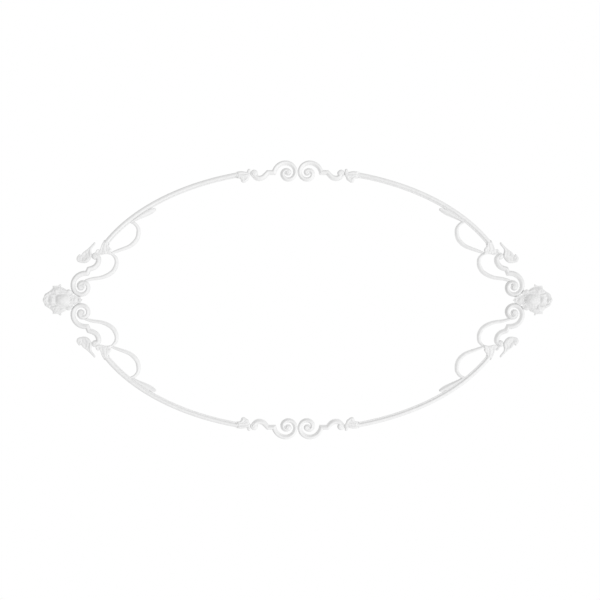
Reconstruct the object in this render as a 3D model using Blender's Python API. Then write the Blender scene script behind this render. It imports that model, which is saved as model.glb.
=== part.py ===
# Oval ceiling medallion: a ring of four curved bars, scrolls, vines and two shield-shaped cartouches.
# Metres. The flat backs lie on z = 0 against the ceiling and the relief hangs down towards -z.
# X runs along the oval and Y across it. Every shape is drawn once, for the quarter where x and y are
# positive, and is mirrored into the other quarters.
import math

import bmesh
import bpy

# The oval that the outer edges of the four curved bars lie on
OVAL_LENGTH = 1.8624
OVAL_WIDTH = 1.148

# Space left between pieces that meet
CLEARANCE = 0.0003

# Curved bar
BAR_WIDTH = 0.0225
BAR_DEPTH = 0.0135
BAR_STEPS = 12
BAR_TUCK = 0.012          # length of bar hidden inside each husk

# Scroll ribbons
RIBBON_WIDTH = 0.0212
RIBBON_DEPTH = 0.0145
MITRE_LIMIT = 0.5         # least cosine of half a corner's turn, which keeps a sharp corner short
EYE_DEPTH = 0.0165
DEGREES_PER_STEP = 20

# Top scroll: a small curl, a hook, a straight break and a large volute
TOP_GAP = 0.0012          # between the two volutes that meet on the short axis
TOP_CURL_RADIUS = 0.0259
TOP_CURL_WIDTH = 0.0237
TOP_HOOK_RADIUS = 0.0332
TOP_HOOK_WIDTH = 0.0229
TOP_HOOK_TURN = 47
TOP_HOOK_RUN = 0.0200
TOP_BREAK_LENGTH = 0.0265
TOP_VOLUTE_START = 3
TOP_VOLUTE_RADIUS = 0.0570
TOP_VOLUTE_CLOSING = (0.773, 0.773, 0.773, 0.773, 0.773, 0.773)
TOP_VOLUTE_WIDTHS = (0.0207, 0.0203, 0.0190, 0.0186, 0.0181, 0.0138, 0.0117)
TOP_VOLUTE_TURN = 486
TOP_EYE_RADIUS = 0.0149
TOP_EYE_SHARE = 0.42      # how far the eye lies from the volute's centre towards the ribbon's end
TOP_CURL_DROP = 0.0044    # the small curl's eye lies this far inside the oval at the husk's neck

# End scroll: the same parts, with the break leaning and the volute beside the cartouche
END_FROM_AXIS = 0.0134    # between the volute and the long axis
END_CURL_RADIUS = 0.0155
END_CURL_WIDTH = 0.0229
END_HOOK_RADIUS = 0.0389
END_HOOK_WIDTH = 0.0225
END_HOOK_TURN = 74
END_HOOK_RUN = 0.0142
END_BREAK_LENGTH = 0.0200
END_BREAK_TURN = 50
END_VOLUTE_START = 100
END_VOLUTE_RADIUS = 0.0598
END_VOLUTE_RUN = 0.0112
END_VOLUTE_CLOSING = (0.664, 0.831, 0.824, 0.810, 0.740)
END_VOLUTE_WIDTHS = (0.0229, 0.0212, 0.0199, 0.0186, 0.0173, 0.0138)
END_VOLUTE_TURN = 460
END_EYE_RADIUS = 0.0158
END_EYE_SHARE = 0.31

# Eyes of the small curls, and how far the ribbon springs from each eye's centre
TOP_CURL_EYE_RADIUS = 0.0164
TOP_CURL_EYE_SHIFT = 0.0046
END_CURL_EYE_RADIUS = 0.0152
END_CURL_EYE_SHIFT = 0.0007

# Leafy husks that close each bar, as long as the named size, with the outline as shares of it
HUSK_LENGTH = 0.0590
HUSK_DEPTH = 0.0180
HUSK_FLUTING = 0.45       # how much lower the rim of a husk lies between its ribs
END_HUSK_RISE = 0.0626    # from the small curl's eye up to the neck of the husk
END_HUSK_SIDE = 0.0503    # from the small curl's eye back to the neck of the husk
END_HUSK_INSET = 0.0126   # from the oval in to the neck of the husk

# Wing leaf beside the end scroll
WING_LENGTH = 0.1100
WING_DEPTH = 0.0165
WING_TIP = (0.0004, 0.0583)   # from the small curl's eye

# Vine: two loops and a leaf spray inside the bar
VINE_WIDTH = 0.0160
VINE_DEPTH = 0.0090
VINE_STEPS_PER_SPAN = 2
VINE_SPRING = (-0.0147, 0.0302)     # start, from the volute's centre
VINE_CUSP = (-0.0216, -0.0515)      # where the loops meet, from the neck of the husk
VINE_REACH = 0.0821                 # end of the second loop, above the neck of the husk
VINE_INSET = 0.0350                 # and in from the oval along X
LEAF_LENGTH = 0.1045                # along X
LEAF_SPRING = 0.0109                # its root lies this far out from the end of the second loop
LEAF_WIDTH = 0.0203
LEAF_DEPTH = 0.0110
LEAF_TUCK = 0.0010                  # its edge reaches this far into the bar, which trims it
LEAF_STEPS = 7

# Cartouche
CARTOUCHE_LENGTH = 0.1706
CARTOUCHE_PLATE_DEPTH = 0.0150
CARTOUCHE_BOSS_DEPTH = 0.0320
CARTOUCHE_FROM_VOLUTE = 0.0877   # between the middle of the cartouche and the volutes' centres

# Cutting blocks reach past the relief on both faces
CUT_ABOVE = 0.010
CUT_BELOW = 0.060
CUT_SLANT = 1.6           # an outline slants across its spokes, so its clearance along them is longer

# Corners closer than this are one corner
SLIVER = 0.000005

# Cross-sections from one edge to the other: share of the half width, share of the depth
RIBBON_SECTION = ((-1.0, 0.0), (-0.80, 0.72), (0.0, 1.0), (0.80, 0.72), (1.0, 0.0))
BAR_SECTION = ((-1.0, 0.0), (-0.82, 0.70), (-0.16, 1.0), (0.48, 0.62), (0.78, 0.68), (1.0, 0.0))
VINE_SECTION = ((-1.0, 0.0), (-0.74, 0.72), (0.0, 1.0), (0.74, 0.72), (1.0, 0.0))
LEAF_SECTION = ((-1.0, 0.0), (-0.70, 0.66), (0.10, 1.0), (0.76, 0.70), (1.0, 0.0))

# Rings of a rounded button and of a carved leaf: share of the outline, share of the depth
BUTTON_RINGS = ((1.0, 0.0), (0.90, 0.86), (0.55, 1.0))
LEAF_RINGS = ((1.0, 0.0), (0.93, 0.62), (0.52, 1.0))
PLATE_RINGS = ((1.0, 0.0), (0.95, 1.0), (0.78, 0.80))
BUTTON_SIDES = 10

# Outlines as shares of the piece's own length, round the point given first
TOP_HUSK_CENTRE = (0.657, -0.058)
TOP_HUSK_OUTLINE = (
    (-0.053, 0.225), (0.26, 0.282), (0.555, 0.26), (0.705, 0.217), (0.772, 0.308), (0.794, 0.391),
    (0.87, 0.451), (0.985, 0.431), (1.0, 0.282), (1.01, 0.067), (1.0, -0.058), (0.933, -0.128),
    (0.888, -0.267), (0.841, -0.366), (0.716, -0.441), (0.591, -0.539), (0.467, -0.555),
    (0.358, -0.507), (0.312, -0.408), (0.243, -0.257), (0.048, -0.238), (-0.03, -0.233))
END_HUSK_CENTRE = (0.146, -0.693)
END_HUSK_OUTLINE = (
    (0.13, 0.135), (0.215, 0.075), (0.285, -0.043), (0.388, -0.255), (0.446, -0.438), (0.499, -0.585),
    (0.665, -0.55), (0.783, -0.655), (0.82, -0.803), (0.766, -0.891), (0.584, -0.949), (0.418, -0.987),
    (0.32, -0.964), (0.146, -0.918), (-0.036, -0.91), (-0.198, -0.945), (-0.325, -0.985),
    (-0.335, -0.86), (-0.29, -0.765), (-0.307, -0.69), (-0.322, -0.59), (-0.258, -0.469),
    (-0.177, -0.371), (-0.156, -0.301), (-0.191, -0.146), (-0.03, 0.01))
WING_CENTRE = (0.267, -0.448)
WING_OUTLINE = (
    (-0.012, -0.007), (0.031, 0.017), (0.154, -0.113), (0.302, -0.255), (0.401, -0.328),
    (0.491, -0.404), (0.532, -0.473), (0.562, -0.509), (0.587, -0.463), (0.63, -0.454), (0.665, -0.51),
    (0.708, -0.551), (0.729, -0.63), (0.717, -0.691), (0.692, -0.737), (0.638, -0.771),
    (0.544, -0.793), (0.434, -0.806), (0.333, -0.789), (0.26, -0.744), (0.204, -0.691),
    (0.158, -0.615), (0.123, -0.55), (0.118, -0.471), (0.153, -0.334), (0.131, -0.236), (0.0, -0.065))
CARTOUCHE_HALF_OUTLINE = (
    (0.476, 0.0), (0.443, 0.094), (0.42, 0.149), (0.349, 0.192), (0.254, 0.266), (0.23, 0.303),
    (0.228, 0.359), (0.159, 0.356), (0.079, 0.366), (0.038, 0.399), (0.018, 0.38), (0.019, 0.331),
    (-0.027, 0.312), (-0.082, 0.283), (-0.117, 0.25), (-0.18, 0.268), (-0.23, 0.243), (-0.271, 0.215),
    (-0.3, 0.165), (-0.335, 0.111), (-0.382, 0.094), (-0.468, 0.081), (-0.478, 0.048), (-0.524, 0.0))
# Raised bosses on the plate: place, radii across x and y, and depth as a share of the full depth
CARTOUCHE_BOSSES = (
    (-0.050, 0.0, 0.155, 0.170, 1.00), (0.203, 0.0, 0.066, 0.066, 0.82),
    (0.330, 0.0, 0.075, 0.125, 0.66),
    (0.177, 0.203, 0.080, 0.075, 0.72), (0.177, -0.203, 0.080, 0.075, 0.72),
    (-0.329, 0.0, 0.098, 0.098, 0.62))

# Loops of the vine: share along the line between their ends, share to its left, share of the width
FIRST_LOOP = (
    (-0.015, 0.012, 0.75), (0.166, 0.12, 0.92), (0.33, 0.244, 0.98), (0.5, 0.325, 1.12),
    (0.67, 0.357, 1.17), (0.811, 0.327, 1.18), (0.914, 0.264, 1.03), (0.99, 0.155, 0.95),
    (0.998, -0.02, 0.6))
SECOND_LOOP = (
    (0.0, -0.018, 0.55), (0.12, 0.076, 0.82), (0.281, 0.209, 0.96), (0.425, 0.317, 1.05),
    (0.581, 0.376, 1.2), (0.73, 0.386, 1.18), (0.865, 0.342, 1.14), (0.98, 0.262, 1.0),
    (1.036, 0.125, 0.85), (1.022, -0.005, 0.65))
# Leaf spray: share of its length, share of its width, gap to the bar as a share of its width
LEAF_STATIONS = (
    (0.0, 0.3, 0.0), (0.2, 0.52, 0.0), (0.42, 0.82, 0.0), (0.63, 1.04, 0.0), (0.76, 1.06, 0.04),
    (0.88, 0.9, 0.15), (0.97, 0.6, 0.32), (1.0, 0.2, 0.52))

QUARTERS = {"upper_left": (-1, -1), "upper_right": (1, -1), "lower_left": (-1, 1),
            "lower_right": (1, 1)}
ENDS = {"left": -1, "right": 1}
PLASTER_WHITE = (0.86, 0.86, 0.85, 1.0)


class Route:
    """A line in plan made of arcs, straight runs, corners and a volute, with a width at each point."""

    def __init__(self, x, y, heading, width):
        self.x = x
        self.y = y
        self.heading = math.radians(heading)
        self.width = width
        self.points = [(x, y, width)]

    def step_to(self, x, y, width):
        self.x = x
        self.y = y
        self.points.append((x, y, width))

    def line(self, length, width):
        self.step_to(self.x + length * math.cos(self.heading),
                     self.y + length * math.sin(self.heading), width)
        self.width = width

    def corner(self, turn):
        self.heading += math.radians(turn)

    def arc(self, radius, turn, width):
        """Positive turns go left."""
        side = math.copysign(1.0, turn)
        centre_x = self.x - side * radius * math.sin(self.heading)
        centre_y = self.y + side * radius * math.cos(self.heading)
        steps = math.ceil(abs(turn) / DEGREES_PER_STEP)
        start_width = self.width
        for step in range(1, steps + 1):
            angle = self.heading + math.radians(turn) * step / steps
            self.step_to(centre_x + side * radius * math.sin(angle),
                         centre_y - side * radius * math.cos(angle),
                         start_width + (width - start_width) * step / steps)
        self.heading += math.radians(turn)
        self.width = width

    def volute(self, start_angle, side, radius, closing, widths, turn):
        """Winds in round a centre, closing by a share each quarter turn, and returns the centre."""
        logs = [math.log(radius)]
        for share in closing:
            logs.append(logs[-1] + math.log(share))
        start = math.radians(start_angle)
        centre_x = self.x - radius * math.cos(start)
        centre_y = self.y - radius * math.sin(start)
        steps = math.ceil(turn / DEGREES_PER_STEP)
        for step in range(1, steps + 1):
            quarters = turn / 90.0 * step / steps
            angle = start + side * math.radians(90.0 * quarters)
            here = math.exp(smooth_value(logs, quarters))
            self.step_to(centre_x + here * math.cos(angle), centre_y + here * math.sin(angle),
                         straight_value(widths, quarters))
        return centre_x, centre_y


def straight_value(values, place):
    """The value at a fractional place in a list, on straight runs between its entries."""
    low = min(int(place), len(values) - 2)
    return values[low] + (values[low + 1] - values[low]) * (place - low)


def smooth_value(values, place):
    """The value at a fractional place in a list, on a smooth curve through its entries."""
    low = min(int(place), len(values) - 2)
    share = place - low
    before = values[low - 1] if low > 0 else 2 * values[low] - values[low + 1]
    after = values[low + 2] if low + 2 < len(values) else 2 * values[low + 1] - values[low]
    slope_low = (values[low + 1] - before) / 2
    slope_high = (after - values[low]) / 2
    return ((2 * share ** 3 - 3 * share ** 2 + 1) * values[low]
            + (share ** 3 - 2 * share ** 2 + share) * slope_low
            + (3 * share ** 2 - 2 * share ** 3) * values[low + 1]
            + (share ** 3 - share ** 2) * slope_high)


def smooth_line(knots, steps_per_span):
    """Points with widths on a smooth curve through the knots (x, y, width)."""
    spans = len(knots) - 1
    columns = list(zip(*knots))
    places = [index / steps_per_span for index in range(spans * steps_per_span + 1)]
    return [tuple(smooth_value(column, place) for column in columns) for place in places]


def edge_normals(points):
    """Unit normals to the left of the line at each point, lengthened at corners to keep the width."""
    normals = []
    for index, point in enumerate(points):
        before = points[max(index - 1, 0)]
        after = points[min(index + 1, len(points) - 1)]
        into = math.atan2(point[1] - before[1], point[0] - before[0])
        out = math.atan2(after[1] - point[1], after[0] - point[0])
        if index == 0:
            into = out
        if index == len(points) - 1:
            out = into
        half = math.remainder(out - into, math.tau) / 2
        stretch = 1 / max(math.cos(half), MITRE_LIMIT)
        normals.append((-math.sin(into + half) * stretch, math.cos(into + half) * stretch))
    return normals


def shifted(points, dx, dy):
    return [(x + dx, y + dy, width) for x, y, width in points]


def extent(points, axis):
    """Lowest and highest reach of a ribbon's edges along x (0) or y (1)."""
    reach = []
    for point, normal in zip(points, edge_normals(points)):
        reach.append(point[axis] + normal[axis] * point[2] / 2)
        reach.append(point[axis] - normal[axis] * point[2] / 2)
    return min(reach), max(reach)


def new_object(name, rings):
    """A closed solid skinned over rings of points, with a flat face on the first and last ring."""
    mesh = bpy.data.meshes.new(name)
    shape = bmesh.new()
    loops = [[shape.verts.new(point) for point in ring] for ring in rings]
    for near, far in zip(loops, loops[1:]):
        for index in range(len(near)):
            following = (index + 1) % len(near)
            shape.faces.new((near[index], near[following], far[following], far[index]))
    shape.faces.new(loops[0])
    shape.faces.new(loops[-1])
    bmesh.ops.recalc_face_normals(shape, faces=shape.faces)
    shape.to_mesh(mesh)
    shape.free()
    made = bpy.data.objects.new(name, mesh)
    bpy.context.scene.collection.objects.link(made)
    return made


def ribbon(name, points, section, depth):
    """A moulding of the given cross-section swept along a line of points with widths."""
    rings = []
    for (x, y, width), normal in zip(points, edge_normals(points)):
        rings.append([(x + normal[0] * across * width / 2, y + normal[1] * across * width / 2,
                       -down * depth) for across, down in section])
    return new_object(name, rings)


def ribbon_block(points):
    """A cutting block round a ribbon, wider than it by the clearance on each side."""
    section = ((-1.0, CUT_ABOVE), (-1.0, -CUT_BELOW), (1.0, -CUT_BELOW), (1.0, CUT_ABOVE))
    rings = []
    for (x, y, width), normal in zip(points, edge_normals(points)):
        half = width / 2 + CLEARANCE
        rings.append([(x + normal[0] * across * half, y + normal[1] * across * half, height)
                      for across, height in section])
    return new_object("cutting_block", rings)


def carved(name, outline, centre, ring_shares, depth, fluting=0.0):
    """A relief with a flat back whose outline shrinks towards its centre as it stands out.

    With fluting, every other corner of the rings between the back and the crown lies lower.
    """
    rings = []
    for share, down in ring_shares:
        ring = []
        for index, (x, y) in enumerate(outline):
            fall = fluting * (index % 2) if down < 1.0 else 0.0
            ring.append((centre[0] + (x - centre[0]) * share, centre[1] + (y - centre[1]) * share,
                         -down * (1.0 - fall) * depth))
        rings.append(ring)
    return new_object(name, rings)


def outline_block(outline, centre):
    """A cutting block round an outline, larger than it by the clearance."""
    grown = []
    for x, y in outline:
        reach = math.hypot(x - centre[0], y - centre[1])
        grow = 1 + CLEARANCE * CUT_SLANT / reach
        grown.append((centre[0] + (x - centre[0]) * grow, centre[1] + (y - centre[1]) * grow))
    return new_object("cutting_block", [[(x, y, CUT_ABOVE) for x, y in grown],
                                        [(x, y, -CUT_BELOW) for x, y in grown]])


def circle(x, y, radius_x, radius_y, sides):
    return [(x + radius_x * math.cos(math.tau * side / sides),
             y + radius_y * math.sin(math.tau * side / sides)) for side in range(sides)]


def button(name, x, y, radius, depth):
    return carved(name, circle(x, y, radius, radius, BUTTON_SIDES), (x, y), BUTTON_RINGS, depth)


def combine(target, others, operation):
    """Joins the other solids to the target or cuts them from it, and removes them."""
    for other in others:
        step = target.modifiers.new(operation.lower(), "BOOLEAN")
        step.operation = operation
        step.object = other
        step.solver = "EXACT"
        bpy.context.view_layer.update()
        result = bpy.data.meshes.new_from_object(
            target.evaluated_get(bpy.context.evaluated_depsgraph_get()))
        target.modifiers.clear()
        target.data = result
        bpy.data.objects.remove(other)
    keep_main_body(target)
    return target


def keep_main_body(target):
    """Drops the loose trimmings that a cut leaves on the far side of the cutting block."""
    shape = bmesh.new()
    shape.from_mesh(target.data)
    bmesh.ops.dissolve_degenerate(shape, edges=shape.edges, dist=SLIVER)
    unseen = set(shape.faces)
    bodies = []
    while unseen:
        body = {unseen.pop()}
        edge = list(body)
        while edge:
            face = edge.pop()
            near = {other for side in face.edges for other in side.link_faces} & unseen
            unseen -= near
            body |= near
            edge.extend(near)
        bodies.append(body)
    main = max(bodies, key=lambda body: sum(face.calc_area() for face in body))
    loose = [face for body in bodies if body is not main for face in body]
    bmesh.ops.delete(shape, geom=loose, context="FACES")
    shape.to_mesh(target.data)
    shape.free()


def enamel(name):
    """The white painted surface of one sub-part."""
    material = bpy.data.materials.new(name)
    material.use_nodes = True
    surface = material.node_tree.nodes["Principled BSDF"]
    surface.inputs["Base Color"].default_value = PLASTER_WHITE
    surface.inputs["Roughness"].default_value = 0.6
    surface.inputs["Metallic"].default_value = 0.0
    return material


def mirrored_copy(master, name, flip_x, flip_y):
    """A copy of the master solid in another quarter, with its faces still pointing out."""
    mesh = master.data.copy()
    mesh.name = name
    shape = bmesh.new()
    shape.from_mesh(mesh)
    for vertex in shape.verts:
        vertex.co.x *= flip_x
        vertex.co.y *= flip_y
    if flip_x * flip_y < 0:
        bmesh.ops.reverse_faces(shape, faces=shape.faces)
    shape.to_mesh(mesh)
    shape.free()
    copy = bpy.data.objects.new(name, mesh)
    bpy.context.scene.collection.objects.link(copy)
    mesh.materials.clear()
    mesh.materials.append(enamel(name + "_finish"))
    return copy


def curl_eye(x, y, heading, side, shift):
    """Centre of a small curl's eye, a little ahead of the ribbon's end and to its curling side."""
    ahead = math.radians(heading)
    across = ahead + side * math.pi / 2
    return (x + shift * (math.cos(ahead) + math.cos(across)),
            y + shift * (math.sin(ahead) + math.sin(across)))


def top_scroll_plan():
    """Line and eyes of the top scroll, drawn from its small curl to its volute, then put in place."""
    width = RIBBON_WIDTH
    route = Route(0.0, 0.0, 270, width)
    eyes = [curl_eye(0.0, 0.0, 270, -1, TOP_CURL_EYE_SHIFT) + (TOP_CURL_EYE_RADIUS,)]
    route.arc(TOP_CURL_RADIUS, -90, TOP_CURL_WIDTH)
    route.arc(TOP_HOOK_RADIUS, -TOP_HOOK_TURN, TOP_HOOK_WIDTH)
    route.line(TOP_HOOK_RUN, width)
    route.corner(TOP_HOOK_TURN)
    route.line(TOP_BREAK_LENGTH, width)
    route.corner(-90)
    centre = route.volute(TOP_VOLUTE_START, 1, TOP_VOLUTE_RADIUS, TOP_VOLUTE_CLOSING,
                          TOP_VOLUTE_WIDTHS, TOP_VOLUTE_TURN)
    eyes.append((centre[0] + (route.x - centre[0]) * TOP_EYE_SHARE,
                 centre[1] + (route.y - centre[1]) * TOP_EYE_SHARE, TOP_EYE_RADIUS))
    dx = TOP_GAP / 2 - extent(route.points, 0)[0]
    neck_x = eyes[0][0] + dx + TOP_CURL_EYE_RADIUS + HUSK_LENGTH
    dy = oval_y(neck_x) - TOP_CURL_DROP - eyes[0][1]
    return (shifted(route.points, dx, dy), [(x + dx, y + dy, r) for x, y, r in eyes], neck_x)


def end_scroll_plan():
    """Line and eyes of the end scroll, drawn from its small curl to its volute, then put in place."""
    width = RIBBON_WIDTH
    route = Route(0.0, 0.0, 180, width)
    eyes = [curl_eye(0.0, 0.0, 180, 1, END_CURL_EYE_SHIFT) + (END_CURL_EYE_RADIUS,)]
    route.arc(END_CURL_RADIUS, 90, END_CURL_WIDTH)
    route.arc(END_HOOK_RADIUS, END_HOOK_TURN, END_HOOK_WIDTH)
    route.line(END_HOOK_RUN, width)
    route.corner(-END_BREAK_TURN)
    route.line(END_BREAK_LENGTH, width)
    route.corner(END_BREAK_TURN + 90 - END_HOOK_TURN)
    route.line(END_VOLUTE_RUN, END_VOLUTE_WIDTHS[0])
    centre = route.volute(END_VOLUTE_START, -1, END_VOLUTE_RADIUS, END_VOLUTE_CLOSING,
                          END_VOLUTE_WIDTHS, END_VOLUTE_TURN)
    eyes.append((centre[0] + (route.x - centre[0]) * END_EYE_SHARE,
                 centre[1] + (route.y - centre[1]) * END_EYE_SHARE, END_EYE_RADIUS))
    dy = END_FROM_AXIS - extent(route.points, 1)[0]
    neck_y = eyes[0][1] + dy + END_HUSK_RISE
    dx = oval_x(neck_y) - END_HUSK_INSET + END_HUSK_SIDE - eyes[0][0]
    return (shifted(route.points, dx, dy), [(x + dx, y + dy, r) for x, y, r in eyes], neck_y,
            (centre[0] + dx, centre[1] + dy))


def oval_x(y):
    return OVAL_LENGTH / 2 * math.sqrt(1 - (2 * y / OVAL_WIDTH) ** 2)


def oval_y(x):
    return OVAL_WIDTH / 2 * math.sqrt(1 - (2 * x / OVAL_LENGTH) ** 2)


def bar_line(x_top, y_end, inset, steps):
    """Points along the oval from the end neck to the top neck, moved in from it."""
    low = math.asin(2 * y_end / OVAL_WIDTH)
    high = math.acos(2 * x_top / OVAL_LENGTH)
    return [oval_point(low + (high - low) * step / steps, inset) for step in range(steps + 1)]


def oval_point(angle, inset):
    x = OVAL_LENGTH / 2 * math.cos(angle)
    y = OVAL_WIDTH / 2 * math.sin(angle)
    lean = math.hypot(x / OVAL_LENGTH ** 2, y / OVAL_WIDTH ** 2)
    return (x - inset * x / OVAL_LENGTH ** 2 / lean, y - inset * y / OVAL_WIDTH ** 2 / lean)


def chord_line(start, end, loop):
    """A smooth looping line between two points, from its shares along and beside their chord."""
    dx = end[0] - start[0]
    dy = end[1] - start[1]
    knots = [(start[0] + along * dx - beside * dy, start[1] + along * dy + beside * dx,
              wide * VINE_WIDTH) for along, beside, wide in loop]
    return smooth_line(knots, VINE_STEPS_PER_SPAN)


def leaf_line(end):
    """Centreline and widths of the leaf spray that leans on the bar's inner edge."""
    start_x = end[0] + LEAF_SPRING
    line = []
    for step in range(LEAF_STEPS + 1):
        place = (len(LEAF_STATIONS) - 1) * step / LEAF_STEPS
        along, wide, gap = (smooth_value(column, place) for column in zip(*LEAF_STATIONS))
        angle = math.acos(2 * (start_x - along * LEAF_LENGTH) / OVAL_LENGTH)
        inset = BAR_WIDTH - LEAF_TUCK + (gap + wide / 2) * LEAF_WIDTH
        line.append(oval_point(angle, inset) + (wide * LEAF_WIDTH,))
    return line


def placed(outline, origin, length, flip_x=1):
    return [(origin[0] + flip_x * x * length, origin[1] + y * length) for x, y in outline]


def ribbon_with_eyes(name, line, eyes):
    scroll = ribbon(name, line, RIBBON_SECTION, RIBBON_DEPTH)
    discs = [button("eye", x, y, radius, EYE_DEPTH) for x, y, radius in eyes]
    return combine(scroll, discs, "UNION")


def blocks(line, eyes):
    """Cutting blocks round a scroll."""
    made = [ribbon_block(line)]
    for x, y, radius in eyes:
        made.append(outline_block(circle(x, y, radius, radius, BUTTON_SIDES), (x, y)))
    return made


def make_medallion():
    for old in list(bpy.data.objects):
        bpy.data.objects.remove(old)

    top_line, top_eyes, neck_x = top_scroll_plan()
    end_line, end_eyes, neck_y, volute = end_scroll_plan()
    top_neck = (neck_x, oval_y(neck_x) - BAR_WIDTH / 2)
    end_neck = (oval_x(neck_y) - END_HUSK_INSET, neck_y)
    curl = end_eyes[0]

    top_scroll = ribbon_with_eyes("top", top_line, top_eyes)
    end_scroll = ribbon_with_eyes("end", end_line, end_eyes)

    top_husk_outline = placed(TOP_HUSK_OUTLINE, top_neck, HUSK_LENGTH, -1)
    top_husk_centre = placed([TOP_HUSK_CENTRE], top_neck, HUSK_LENGTH, -1)[0]
    end_husk_outline = placed(END_HUSK_OUTLINE, end_neck, HUSK_LENGTH)
    end_husk_centre = placed([END_HUSK_CENTRE], end_neck, HUSK_LENGTH)[0]
    bar_points = [point + (BAR_WIDTH,) for point in
                  bar_line(neck_x - BAR_TUCK, neck_y - BAR_TUCK, BAR_WIDTH / 2, BAR_STEPS)]
    arc = ribbon("arc", bar_points, BAR_SECTION, BAR_DEPTH)
    husks = [carved("husk", outline, centre, LEAF_RINGS, HUSK_DEPTH, HUSK_FLUTING)
             for outline, centre in ((top_husk_outline, top_husk_centre),
                                     (end_husk_outline, end_husk_centre))]
    combine(arc, husks, "UNION")
    combine(arc, blocks(top_line, top_eyes) + blocks(end_line, end_eyes), "DIFFERENCE")

    wing_tip = (curl[0] + WING_TIP[0], curl[1] + WING_TIP[1])
    wing = carved("wing", placed(WING_OUTLINE, wing_tip, WING_LENGTH),
                  placed([WING_CENTRE], wing_tip, WING_LENGTH)[0], LEAF_RINGS, WING_DEPTH)
    combine(wing, blocks(end_line, end_eyes), "DIFFERENCE")

    spring = (volute[0] + VINE_SPRING[0], volute[1] + VINE_SPRING[1])
    cusp = (end_neck[0] + VINE_CUSP[0], end_neck[1] + VINE_CUSP[1])
    reach_y = neck_y + VINE_REACH
    reach = (oval_x(reach_y) - VINE_INSET, reach_y)
    vine = ribbon("vine", chord_line(spring, cusp, FIRST_LOOP), VINE_SECTION, VINE_DEPTH)
    growth = [ribbon("loop", chord_line(cusp, reach, SECOND_LOOP), VINE_SECTION, VINE_DEPTH),
              ribbon("leaf", leaf_line(reach), LEAF_SECTION, LEAF_DEPTH)]
    combine(vine, growth, "UNION")
    combine(vine, blocks(end_line, end_eyes) + [ribbon_block(bar_points),
            outline_block(end_husk_outline, end_husk_centre)], "DIFFERENCE")

    for quarter, (flip_x, flip_y) in QUARTERS.items():
        for master, label in ((top_scroll, "top_scroll"), (end_scroll, "end_scroll"), (arc, "arc"),
                              (wing, "wing_leaf"), (vine, "vine")):
            mirrored_copy(master, label + "_" + quarter, flip_x, flip_y)

    middle = (volute[0] + CARTOUCHE_FROM_VOLUTE, 0.0)
    half = list(CARTOUCHE_HALF_OUTLINE)
    whole = half + [(x, -y) for x, y in reversed(half[1:-1])]
    cartouche = carved("cartouche", placed(whole, middle, CARTOUCHE_LENGTH), middle, PLATE_RINGS,
                       CARTOUCHE_PLATE_DEPTH)
    bosses = []
    for x, y, radius_x, radius_y, deep in CARTOUCHE_BOSSES:
        centre = placed([(x, y)], middle, CARTOUCHE_LENGTH)[0]
        outline = circle(*centre, radius_x * CARTOUCHE_LENGTH, radius_y * CARTOUCHE_LENGTH,
                         BUTTON_SIDES)
        bosses.append(carved("boss", outline, centre, BUTTON_RINGS, CARTOUCHE_BOSS_DEPTH * deep))
    combine(cartouche, bosses, "UNION")
    beside = [(x, -y, width) for x, y, width in end_line]
    eyes_beside = [(x, -y, radius) for x, y, radius in end_eyes]
    combine(cartouche, blocks(end_line, end_eyes) + blocks(beside, eyes_beside), "DIFFERENCE")
    for side, flip in ENDS.items():
        mirrored_copy(cartouche, "cartouche_" + side, flip, 1)

    for master in (top_scroll, end_scroll, arc, wing, vine, cartouche):
        bpy.data.objects.remove(master)


make_medallion()
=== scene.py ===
import math

import bmesh
import bpy
import numpy as np
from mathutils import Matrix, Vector
from mathutils.geometry import delaunay_2d_cdt


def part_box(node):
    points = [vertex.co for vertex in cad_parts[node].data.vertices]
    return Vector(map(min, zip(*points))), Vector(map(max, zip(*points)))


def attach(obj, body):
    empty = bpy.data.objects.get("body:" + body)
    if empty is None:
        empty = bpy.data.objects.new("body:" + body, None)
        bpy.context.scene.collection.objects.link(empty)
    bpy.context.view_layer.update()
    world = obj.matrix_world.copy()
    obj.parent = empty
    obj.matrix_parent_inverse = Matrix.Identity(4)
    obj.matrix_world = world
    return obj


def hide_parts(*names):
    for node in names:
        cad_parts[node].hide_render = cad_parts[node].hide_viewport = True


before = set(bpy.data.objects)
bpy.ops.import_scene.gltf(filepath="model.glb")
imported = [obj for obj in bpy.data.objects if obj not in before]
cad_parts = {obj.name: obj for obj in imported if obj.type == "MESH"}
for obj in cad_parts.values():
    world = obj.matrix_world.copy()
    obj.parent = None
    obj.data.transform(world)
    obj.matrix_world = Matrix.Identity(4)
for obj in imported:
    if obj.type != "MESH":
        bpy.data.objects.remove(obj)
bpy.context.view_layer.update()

# The oval that the outer edges of the curved bars lie on
OVAL_LENGTH = 1.8624
OVAL_WIDTH = 1.148

# Neighbouring casts run this far into each other, so that no crack shows
BEDDING = 0.0013

# Curved bar, with its section as shares of the half width and of the depth
BAR_WIDTH = 0.0225
BAR_DEPTH = 0.0135
BAR_STEPS = 150
BAR_TUCK = 0.012
BAR_CREST = -0.04
BAR_OUTER_HOLLOW = 0.15   # 0 is a round side and 1 a hollow one
BAR_INNER_HOLLOW = 0.85
BAR_BEAD_START = 0.60
BAR_QUIRK_HEIGHT = 0.55
BAR_BEAD_HEIGHT = 0.64
BAR_EDGE = 0.34

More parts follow.
